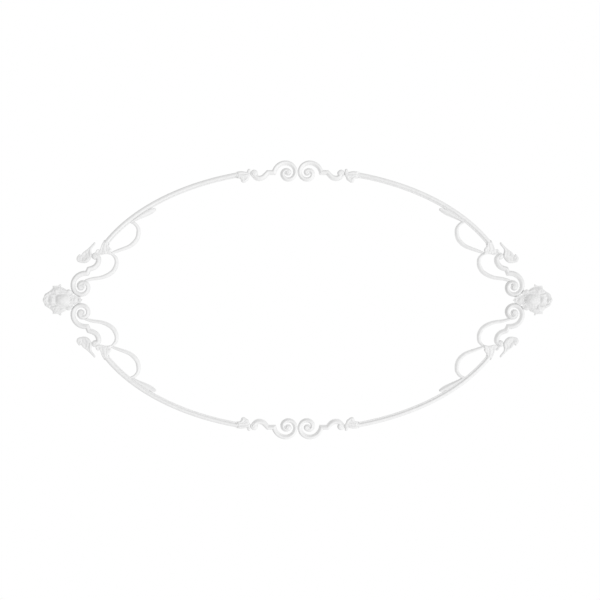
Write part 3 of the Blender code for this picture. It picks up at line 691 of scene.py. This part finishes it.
def swept(name, line, sections, depth, taper=0):
    """A moulding swept along a line; its first and last few steps can taper down to a rounded end."""
    points = []
    for index, ((x, y, width), normal, section) in enumerate(zip(line, edge_normals(line), sections)):
        lift = depth
        if taper:
            near = min(index, len(line) - 1 - index) / taper
            rise = math.sqrt(1 - (1 - min(near, 1.0)) ** 2)
            lift = depth * (LEAF_TIP_HEIGHT + (1 - LEAF_TIP_HEIGHT) * rise)
        points += [(x + normal[0] * across * width / 2, y + normal[1] * across * width / 2,
                    -down * lift) for across, down in section]
    return mesh_object(name, points, ring_faces(len(line), len(sections[0])))


def eye_height(share, turned, sweep):
    """Height of an eye at a share of its radius, and at an angle from where its groove starts."""
    crown = EYE_RIM + EYE_SWELL * math.sqrt(max(1 - share ** EYE_SWELL_POWER, 0.0))
    cut = 0.0
    for lap in (0, 1):
        along = (turned + math.tau * lap) / math.radians(sweep)
        if along < 1.0:
            groove = 1.0 - EYE_GROOVE_CLOSING * along
            fade = min(1.0, (1.0 - along) * EYE_GROOVE_FADE)
            cut = max(cut, EYE_GROOVE * fade * math.exp(-((share - groove) / EYE_GROOVE_WIDTH) ** 2))
    return crown - cut - EYE_DIMPLE * math.exp(-(share / EYE_DIMPLE_WIDTH) ** 2)


def curled_eye(name, x, y, radius, start, side, sweep):
    """A rounded boss with a groove that winds in from its rim round a small dimpled button.

    The groove starts at the rim at the start angle and turns to the given side through the sweep.
    """
    points = [(x, y, -EYE_DEPTH * EYE_TIP)]
    for ring in range(1, EYE_RINGS + 1):
        share = ring / EYE_RINGS
        for spoke in range(EYE_SPOKES):
            angle = math.tau * spoke / EYE_SPOKES
            turned = ((angle - math.radians(start)) * side) % math.tau
            points.append((x + radius * share * math.cos(angle), y + radius * share * math.sin(angle),
                           -EYE_DEPTH * eye_height(share, turned, sweep)))
    rim = 1 + (EYE_RINGS - 1) * EYE_SPOKES
    back = len(points)
    points += [(px, py, 0.0) for px, py, _ in points[rim:rim + EYE_SPOKES]]
    faces = [(0, 1 + spoke, 1 + (spoke + 1) % EYE_SPOKES) for spoke in range(EYE_SPOKES)]
    for ring in range(EYE_RINGS):
        low = 1 + ring * EYE_SPOKES
        high = low + EYE_SPOKES
        for spoke in range(EYE_SPOKES):
            after = (spoke + 1) % EYE_SPOKES
            faces.append((low + spoke, high + spoke, high + after, low + after))
    faces.append(tuple(range(back, back + EYE_SPOKES)))
    return mesh_object(name, points, faces)


def placed(outline, origin, length, flip_x=1):
    return [(origin[0] + flip_x * x * length, origin[1] + y * length) for x, y in outline]


def unit(vectors):
    return vectors / np.linalg.norm(vectors, axis=1)[:, None]


def rounded_outline(corners):
    """The outline through its corners, smooth where it turns gently and creased where it turns hard."""
    corners = np.array(corners)
    before = np.roll(corners, 1, axis=0)
    after = np.roll(corners, -1, axis=0)
    into = corners - before
    out = after - corners
    turn = np.abs(np.angle((out[:, 0] + 1j * out[:, 1]) / (into[:, 0] + 1j * into[:, 1])))
    softness = np.clip((CREASE_TURN - np.degrees(turn)) / (CREASE_TURN - SMOOTH_TURN), 0.0, 1.0)
    lengths = np.linalg.norm(out, axis=1)
    tangents = softness[:, None] * unit(after - before)
    line = []
    for index, corner in enumerate(corners):
        following = (index + 1) % len(corners)
        steps = max(1, round(lengths[index] / RELIEF_SPACING))
        for step in range(steps):
            line.append(eased(corner, corners[following], tangents[index] * lengths[index],
                              tangents[following] * lengths[index], step / steps))
    return np.array(line)


def inward(outline):
    """Unit normals that point into an outline, whichever way round it runs."""
    after = np.roll(outline, -1, axis=0)
    along = unit(after - np.roll(outline, 1, axis=0))
    area = np.sum(outline[:, 0] * after[:, 1] - after[:, 0] * outline[:, 1])
    return np.stack((-along[:, 1], along[:, 0]), axis=1) * math.copysign(1.0, area)


def line_distance(points, line, closed=False):
    """Distance from each point to a line of straight runs."""
    line = np.asarray(line, float)
    if len(line) == 1:
        return np.linalg.norm(points - line[0], axis=1)
    starts = line if closed else line[:-1]
    ends = np.roll(line, -1, axis=0) if closed else line[1:]
    nearest = np.full(len(points), np.inf)
    for start, end in zip(starts, ends):
        run = end - start
        share = np.clip((points - start) @ run / (run @ run), 0.0, 1.0)
        nearest = np.minimum(nearest, np.linalg.norm(points - start - share[:, None] * run, axis=1))
    return nearest


def inside(points, outline):
    """True for each point that lies inside a closed outline."""
    after = np.roll(outline, -1, axis=0)
    found = np.zeros(len(points), bool)
    for (ax, ay), (bx, by) in zip(outline, after):
        if ay == by:
            continue
        crosses = (points[:, 1] > ay) != (points[:, 1] > by)
        found ^= crosses & (points[:, 0] < (bx - ax) * (points[:, 1] - ay) / (by - ay) + ax)
    return found


def plan_points(outline):
    """Rows of points near the outline, then a grid of triangles over the inside."""
    normals = inward(outline)
    rows = []
    for step in RIM_STEPS:
        row = outline + normals * step
        keep = inside(row, outline) & (line_distance(row, outline, True) > step * RIM_ROW_KEEPS)
        rows.append(row[keep])
    low = outline.min(axis=0)
    high = outline.max(axis=0)
    grid = []
    for index in range(int((high[1] - low[1]) / (RELIEF_SPACING * GRID_ROW)) + 1):
        xs = np.arange(low[0] + RELIEF_SPACING / 2 * (index % 2), high[0], RELIEF_SPACING)
        y = low[1] + index * RELIEF_SPACING * GRID_ROW
        grid.append(np.stack((xs, np.full(len(xs), y)), axis=1))
    grid = np.concatenate(grid)
    grid = grid[inside(grid, outline)]
    clear = line_distance(grid, outline, True) > RIM_STEPS[-1] + RELIEF_SPACING * GRID_MARGIN
    return np.concatenate(rows + [grid[clear]])


def relief(name, corners, height):
    """A carved solid with a flat back over an outline; height gives how far each plan point stands."""
    outline = rounded_outline(corners)
    count = len(outline)
    plan = np.concatenate((outline, plan_points(outline)))
    edges = [(index, (index + 1) % count) for index in range(count)]
    made = delaunay_2d_cdt([Vector(point) for point in plan], edges, [], 1, MERGE)
    plan = np.array([tuple(point) for point in made[0]])
    points = [(x, y, -lift) for (x, y), lift in zip(plan, height(plan, line_distance(plan, outline, True)))]
    faces = [tuple(face) for face in made[2]]
    rim = [None] * count
    for index, sources in enumerate(made[3]):
        for source in sources:
            if source < count:
                rim[source] = index
    back = len(points)
    points += [(*plan[index], 0.0) for index in rim]
    for index, after in edges:
        faces.append((rim[index], rim[after], back + after, back + index))
    faces.append(tuple(range(back, back + count)))
    return mesh_object(name, points, faces)


def smooth_stroke(points):
    """A stroke's points joined by a smooth curve."""
    return smooth_line(points, STROKE_STEPS) if len(points) > 2 else points


def carving_height(points, carving, origin, length, flip_x=1):
    """How far the strokes raise or lower each plan point, as a share of the depth."""
    lift = np.zeros(len(points))
    for raised, wide, *stroke in carving:
        distance = line_distance(points, smooth_stroke(placed(stroke, origin, length, flip_x)))
        lift += raised * np.exp(-(distance / (wide * length)) ** 2)
    return lift


def carved_height(depth, wall, rounding, length, origin, flip_x, carving, tilt=NO_TILT):
    """Height of a rounded form that may tilt, with strokes raised on it or cut into it."""
    tilt_x, tilt_y, tilt_from, tilt_rate = tilt

    def height(points, edge):
        near = np.clip(edge / rounding, 0.0, 1.0)
        along = (points[:, 0] - origin[0]) * flip_x / length
        beside = (points[:, 1] - origin[1]) / length
        lift = wall + (CARVED_CROWN - wall) * np.sqrt(1 - (1 - near) ** 2)
        lift -= tilt_rate * np.clip(along * tilt_x + beside * tilt_y - tilt_from, 0.0, 1.0) * near
        lift += (carving_height(points, carving, origin, length, flip_x)
                 * np.clip(near / STROKE_FULL_FROM, STROKE_AT_RIM, 1))
        return depth * np.clip(lift, CARVED_LEAST, 1.0)
    return height


def cutting_block(line):
    """A block round a ribbon, narrower than it by the bedding on each side."""
    section = ((-1.0, CUT_ABOVE), (-1.0, -CUT_BELOW), (1.0, -CUT_BELOW), (1.0, CUT_ABOVE))
    points = []
    for (x, y, width), normal in zip(line, edge_normals(line)):
        half = width / 2 - BEDDING
        points += [(x + normal[0] * across * half, y + normal[1] * across * half, height)
                   for across, height in section]
    return mesh_object("cutting_block", points, ring_faces(len(line), len(section)))


def cutting_prism(rim):
    """A block with the given outline."""
    points = [(x, y, height) for height in (CUT_ABOVE, -CUT_BELOW) for x, y in rim]
    return mesh_object("cutting_prism", points, ring_faces(2, len(rim)))


def cutting_disc(x, y, radius):
    """A round block, narrower than an eye by the bedding."""
    reach = radius - BEDDING
    return cutting_prism([(x + reach * math.cos(math.tau * side / CUT_SIDES),
                           y + reach * math.sin(math.tau * side / CUT_SIDES)) for side in range(CUT_SIDES)])


def husk_block(corners):
    """A block over a husk's outline, smaller than it by the bedding."""
    outline = rounded_outline(corners)
    return cutting_prism(outline + inward(outline) * BEDDING)


def scroll_blocks(line, eyes):
    return [cutting_block(line)] + [cutting_disc(*eye) for eye in eyes]


def combine(target, others, operation):
    """Joins the other solids to the target or cuts them from it, and removes them."""
    for other in others:
        step = target.modifiers.new(operation.lower(), "BOOLEAN")
        step.operation = operation
        step.object = other
        step.solver = "EXACT"
        bpy.context.view_layer.update()
        result = bpy.data.meshes.new_from_object(
            target.evaluated_get(bpy.context.evaluated_depsgraph_get()))
        target.modifiers.clear()
        target.data = result
        bpy.data.objects.remove(other)
    keep_main_body(target)
    return target


def keep_main_body(target):
    """Drops the loose trimmings that a cut leaves on the far side of the cutting block."""
    shape = bmesh.new()
    shape.from_mesh(target.data)
    bmesh.ops.dissolve_degenerate(shape, edges=shape.edges, dist=SLIVER)
    unseen = set(shape.faces)
    bodies = []
    while unseen:
        body = {unseen.pop()}
        edge = list(body)
        while edge:
            face = edge.pop()
            near = {other for side in face.edges for other in side.link_faces} & unseen
            unseen -= near
            body |= near
            edge.extend(near)
        bodies.append(body)
    main = max(bodies, key=lambda body: sum(face.calc_area() for face in body))
    loose = [face for body in bodies if body is not main for face in body]
    bmesh.ops.delete(shape, geom=loose, context="FACES")
    shape.to_mesh(target.data)
    shape.free()


def fill(tree, node, inputs):
    """Links each of the node's inputs to a given socket, or sets it to a given value."""
    for name, value in inputs.items():
        if isinstance(value, bpy.types.NodeSocket):
            tree.links.new(value, node.inputs[name])
        else:
            node.inputs[name].default_value = value
    return node


def noise(tree, place, scale, detail, roughness=0.5):
    return fill(tree, tree.nodes.new("ShaderNodeTexNoise"), {
        "Vector": place, "Scale": scale, "Detail": detail, "Roughness": roughness}).outputs["Fac"]


def ranged(tree, value, source, target):
    """Maps a value from one range to another, held at the ends."""
    return fill(tree, tree.nodes.new("ShaderNodeMapRange"), {
        "Value": value, "From Min": source[0], "From Max": source[1],
        "To Min": target[0], "To Max": target[1]}).outputs["Result"]


def blended(tree, share, first, second):
    """Mixes two colours, which are sockets 6 and 7 of the node."""
    mixer = tree.nodes.new("ShaderNodeMix")
    mixer.data_type = "RGBA"
    return fill(tree, mixer, {"Factor": share, 6: first, 7: second}).outputs[2]


def bumped(tree, place, bump, height, below):
    """Bumps of a noise, laid over the bumps below it where there are any."""
    scale, detail, strength = bump
    inputs = {"Height": noise(tree, place, scale, detail), "Strength": strength, "Distance": height}
    if below:
        inputs["Normal"] = below
    return fill(tree, tree.nodes.new("ShaderNodeBump"), inputs).outputs["Normal"]


def grey(tone):
    return (tone, tone, tone, 1.0)


def primed(name, light, dark, mottle_scale, grain, unevenness):
    """Matt white primer over a cast surface: soft mottling, painted shade in its hollows and creases, fine
    grain and roughness.
    """
    material = bpy.data.materials.new(name)
    material.use_nodes = True
    tree = material.node_tree
    place = tree.nodes.new("ShaderNodeTexCoord").outputs["Object"]

    cloud = noise(tree, place, mottle_scale, MOTTLE_DETAIL, MOTTLE_ROUGHNESS)
    mottled = blended(tree, ranged(tree, cloud, MOTTLE_RANGE, (0.0, 1.0)), grey(light), grey(dark))
    speck = ranged(tree, noise(tree, place, SPECK_SCALE, SPECK_DETAIL), SPECK_RANGE, (0.0, SPECK_SHARE))
    specked = blended(tree, speck, mottled, grey(SPECK_TONE))
    # Painted shade: an occlusion test darkens the base colour towards grey in creases, hollows and between
    # parts
    hollow = fill(tree, tree.nodes.new("ShaderNodeAmbientOcclusion"), {"Distance": PAINTED_SHADE_REACH})
    hollow.samples = PAINTED_SHADE_SAMPLES
    painted_shade_amount = ranged(tree, hollow.outputs["AO"], PAINTED_SHADE_RANGE, (PAINTED_SHADE_SHARE, 0.0))

    normal = None
    for bump, height in ((UNEVEN_BUMP, unevenness), (BROAD_BUMP, BROAD_HEIGHT * grain),
                         (FINE_BUMP, FINE_HEIGHT * grain)):
        normal = bumped(tree, place, bump, height, normal)
    fill(tree, tree.nodes["Principled BSDF"], {
        "Base Color": blended(tree, painted_shade_amount, specked, grey(PAINTED_SHADE_TONE)),
        "Roughness": ranged(tree, noise(tree, place, ROUGH_SCALE, ROUGH_DETAIL), ROUGH_RANGE, ROUGHNESS),
        "Specular IOR Level": SPECULAR,
        "Normal": normal})
    return material


def mirrored_piece(master, name, flip_x, flip_y, node, material):
    """A copy of the master in another quarter that stands for its solid."""
    mesh = master.data.copy()
    mesh.name = name
    shape = bmesh.new()
    shape.from_mesh(mesh)
    for vertex in shape.verts:
        vertex.co.x *= flip_x
        vertex.co.y *= flip_y
    if flip_x * flip_y < 0:
        bmesh.ops.reverse_faces(shape, faces=shape.faces)
    shape.to_mesh(mesh)
    shape.free()
    mesh.materials.clear()
    mesh.materials.append(material)
    mesh.shade_smooth()
    mesh.set_sharp_from_angle(angle=math.radians(SHARP_ANGLE))
    piece = bpy.data.objects.new(name, mesh)
    bpy.context.scene.collection.objects.link(piece)
    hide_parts(node)
    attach(piece, "root")
    return piece


def angle_from(eye, point):
    """Direction, in degrees, from an eye's centre to a point."""
    return math.degrees(math.atan2(point[1] - eye[1], point[0] - eye[0]))


def make_scroll(name, line, eyes, edges, lean, turn, side):
    """A ribbon whose crest changes sides, with an eye at each end that curls to the given side."""
    sections = [leaning_section(amount, *edges)
                for amount in leans(len(line), turn // DEGREES_PER_STEP, *lean)]
    scroll = swept(name, line, sections, RIBBON_DEPTH)
    lead = side * EYE_GROOVE_LEAD
    curl = curled_eye("curl", *eyes[0], angle_from(eyes[0], line[0]) + lead, side, CURL_SWEEP)
    eye = curled_eye("eye", *eyes[1], angle_from(eyes[1], line[-1]) - lead, side, EYE_SWEEP)
    return combine(scroll, [curl, eye], "UNION")


def make_arc(bar, top_neck, end_neck, blocks):
    arc = swept("arc", bar, [bar_section()] * len(bar), BAR_DEPTH)
    top_height = carved_height(HUSK_DEPTH, TOP_HUSK_WALL, TOP_HUSK_ROUNDING, HUSK_LENGTH, top_neck, -1,
                               TOP_HUSK_CARVING)
    end_height = carved_height(HUSK_DEPTH, END_HUSK_WALL, END_HUSK_ROUNDING, HUSK_LENGTH, end_neck, 1,
                               END_HUSK_CARVING, END_HUSK_TILT)
    top_husk = relief("top_husk", placed(TOP_HUSK_OUTLINE, top_neck, HUSK_LENGTH, -1), top_height)
    end_husk = relief("end_husk", placed(END_HUSK_OUTLINE, end_neck, HUSK_LENGTH), end_height)
    combine(arc, [top_husk, end_husk], "UNION")
    return combine(arc, blocks, "DIFFERENCE")


def make_wing(tip, blocks):
    height = carved_height(WING_DEPTH, WING_WALL, WING_ROUNDING, WING_LENGTH, tip, 1, WING_CARVING,
                           WING_TILT)
    wing = relief("wing", placed(WING_OUTLINE, tip, WING_LENGTH), height)
    return combine(wing, blocks, "DIFFERENCE")


def make_vine(spring, cusp, reach, blocks):
    first = chord_line(spring, cusp, FIRST_LOOP)
    second = chord_line(cusp, reach, SECOND_LOOP)
    spray = leaf_line(reach)
    stem = leaning_section(VINE_LEAN, *VINE_EDGES)
    blade = leaning_section(LEAF_LEAN, *LEAF_EDGES)
    vine = swept("vine", first, [stem] * len(first), VINE_DEPTH)
    loop = swept("loop", second, [stem] * len(second), VINE_DEPTH)
    leaf = swept("leaf", spray, [blade] * len(spray), LEAF_DEPTH, LEAF_TIP_STEPS)
    combine(vine, [loop, leaf], "UNION")
    return combine(vine, blocks, "DIFFERENCE")


def mirrored(points):
    return [(x, -y) for x, y in points]


def cartouche_height(origin):
    """Height of the plate, which sinks towards its tail, with its bosses and the strokes on both halves."""
    strokes = []
    for raised, wide, *stroke in CARTOUCHE_CARVING:
        strokes += [(raised, wide, *stroke), (raised, wide, *mirrored(stroke))]
    bosses = [(x, side, *rest) for x, y, *rest in CARTOUCHE_BOSSES for side in {y, -y}]

    def height(points, edge):
        near = np.clip(edge / CARTOUCHE_ROUNDING, 0.0, 1.0)
        along = (points[:, 0] - origin[0]) / CARTOUCHE_LENGTH
        beside = (points[:, 1] - origin[1]) / CARTOUCHE_LENGTH
        crown = CARTOUCHE_CROWN - TAIL_SINKS * np.clip((TAIL_FROM - along) / TAIL_RUN, 0.0, 1.0)
        lift = CARTOUCHE_WALL + (crown - CARTOUCHE_WALL) * (1 - (1 - near) ** CARTOUCHE_ROUNDING_POWER)
        for x, y, radius_x, radius_y, rise in bosses:
            inner = 1 - ((along - x) / radius_x) ** 2 - ((beside - y) / radius_y) ** 2
            lift += rise * np.clip(inner, 0, 1) ** BOSS_POWER
        lift += carving_height(points, strokes, origin, CARTOUCHE_LENGTH)
        return CARTOUCHE_DEPTH * np.clip(lift, CARTOUCHE_LEAST, 1.0)
    return height


def make_cartouche(middle, blocks):
    """The carved plate, trimmed beside both end scrolls, with a small opening on each side of its tail."""
    half = list(CARTOUCHE_HALF_OUTLINE)
    whole = half + mirrored(reversed(half[1:-1]))
    cartouche = relief("cartouche", placed(whole, middle, CARTOUCHE_LENGTH), cartouche_height(middle))
    hole_x = middle[0] + CARTOUCHE_HOLE[0] * CARTOUCHE_LENGTH
    hole_y = CARTOUCHE_HOLE[1] * CARTOUCHE_LENGTH
    blocks = blocks + [cutting_disc(hole_x, side * hole_y, CARTOUCHE_HOLE_RADIUS) for side in (1, -1)]
    return combine(cartouche, blocks, "DIFFERENCE")


def make_pieces():
    top_line, top_eyes, neck_x = top_scroll_plan(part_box("top_scroll_lower_right")[0].x)
    end_line, end_eyes, neck_y, volute = end_scroll_plan(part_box("end_scroll_lower_right")[0].y)
    top_neck = (neck_x, oval_y(neck_x) - BAR_WIDTH / 2)
    end_neck = (oval_x(neck_y) - END_HUSK_INSET, neck_y)
    curl = end_eyes[0]
    bar = bar_line(neck_x - BAR_TUCK, neck_y - BAR_TUCK)
    wing_tip = (curl[0] + WING_TIP[0], curl[1] + WING_TIP[1])
    spring = (volute[0] + VINE_SPRING[0], volute[1] + VINE_SPRING[1])
    cusp = (end_neck[0] + VINE_CUSP[0], end_neck[1] + VINE_CUSP[1])
    reach_y = neck_y + VINE_REACH
    reach = (oval_x(reach_y) - VINE_INSET, reach_y)
    middle = (volute[0] + CARTOUCHE_FROM_VOLUTE, 0.0)
    other_line = [(x, -y, width) for x, y, width in end_line]
    other_eyes = [(x, -y, radius) for x, y, radius in end_eyes]
    end_husk = placed(END_HUSK_OUTLINE, end_neck, HUSK_LENGTH)

    masters = {
        "top_scroll": make_scroll("top_scroll", top_line, top_eyes, TOP_EDGES, TOP_LEAN, TOP_VOLUTE_TURN, 1),
        "end_scroll": make_scroll("end_scroll", end_line, end_eyes, END_EDGES, END_LEAN,
                                  END_VOLUTE_TURN, -1),
        "arc": make_arc(bar, top_neck, end_neck,
                        scroll_blocks(top_line, top_eyes) + scroll_blocks(end_line, end_eyes)),
        "wing_leaf": make_wing(wing_tip, scroll_blocks(end_line, end_eyes)),
        "vine": make_vine(spring, cusp, reach,
                          scroll_blocks(end_line, end_eyes) + [cutting_block(bar), husk_block(end_husk)]),
        "cartouche": make_cartouche(middle, scroll_blocks(end_line, end_eyes)
                                    + scroll_blocks(other_line, other_eyes)),
    }
    for label, master in masters.items():
        slot, *finish = FINISHES[label]
        material = primed(*finish)
        for place, (flip_x, flip_y) in (ENDS if label == "cartouche" else QUARTERS).items():
            mirrored_piece(master, "carved_" + label + "_" + place, flip_x, flip_y,
                           label + "_" + place, material)
        bpy.data.objects.remove(master)


def make_floor():
    """A pale floor far below."""
    half = FLOOR_SIZE / 2
    mesh = bpy.data.meshes.new("floor")
    mesh.from_pydata([(-half, -half, FLOOR_DROP), (half, -half, FLOOR_DROP), (half, half, FLOOR_DROP),
                      (-half, half, FLOOR_DROP)], [], [(0, 1, 2, 3)])
    floor = bpy.data.objects.new("floor", mesh)
    bpy.context.scene.collection.objects.link(floor)
    finish = bpy.data.materials.new("floor_pale")
    finish.use_nodes = True
    tree = finish.node_tree
    fill(tree, tree.nodes["Principled BSDF"], {"Base Color": FLOOR_COLOUR, "Roughness": FLOOR_ROUGHNESS})
    mesh.materials.append(finish)
    floor.visible_shadow = False
    floor.visible_diffuse = False


def make_light():
    """A white surround, which glows less than it shows, and soft light from the view's lower right."""
    world = bpy.data.worlds.new("white_room")
    bpy.context.scene.world = world
    world.use_nodes = True
    tree = world.node_tree
    seen = fill(tree, tree.nodes.new("ShaderNodeBackground"), {"Color": WHITE, "Strength": SEEN_STRENGTH})
    glow = fill(tree, tree.nodes["Background"], {"Color": WHITE, "Strength": GLOW_STRENGTH})
    mixer = fill(tree, tree.nodes.new("ShaderNodeMixShader"), {
        "Fac": tree.nodes.new("ShaderNodeLightPath").outputs["Is Camera Ray"],
        1: glow.outputs["Background"], 2: seen.outputs["Background"]})
    fill(tree, tree.nodes["World Output"], {"Surface": mixer.outputs["Shader"]})

    for name, (direction, strength, softness) in LAMPS.items():
        light = bpy.data.lights.new(name, "SUN")
        light.energy = strength
        light.angle = math.radians(softness)
        lamp = bpy.data.objects.new(name, light)
        lamp.rotation_euler = Vector(direction).to_track_quat("Z", "Y").to_euler()
        bpy.context.scene.collection.objects.link(lamp)


def make_camera():
    lens = bpy.data.cameras.new("camera")
    lens.lens = CAMERA_LENS
    lens.sensor_width = CAMERA_SENSOR
    lens.clip_end = CAMERA_REACH
    camera = bpy.data.objects.new("camera", lens)
    camera.location = CAMERA_PLACE
    camera.rotation_euler = (math.pi, 0.0, 0.0)
    bpy.context.scene.collection.objects.link(camera)
    bpy.context.scene.camera = camera
    bpy.context.scene.view_settings.view_transform = "Standard"


make_pieces()
make_floor()
make_light()
make_camera()
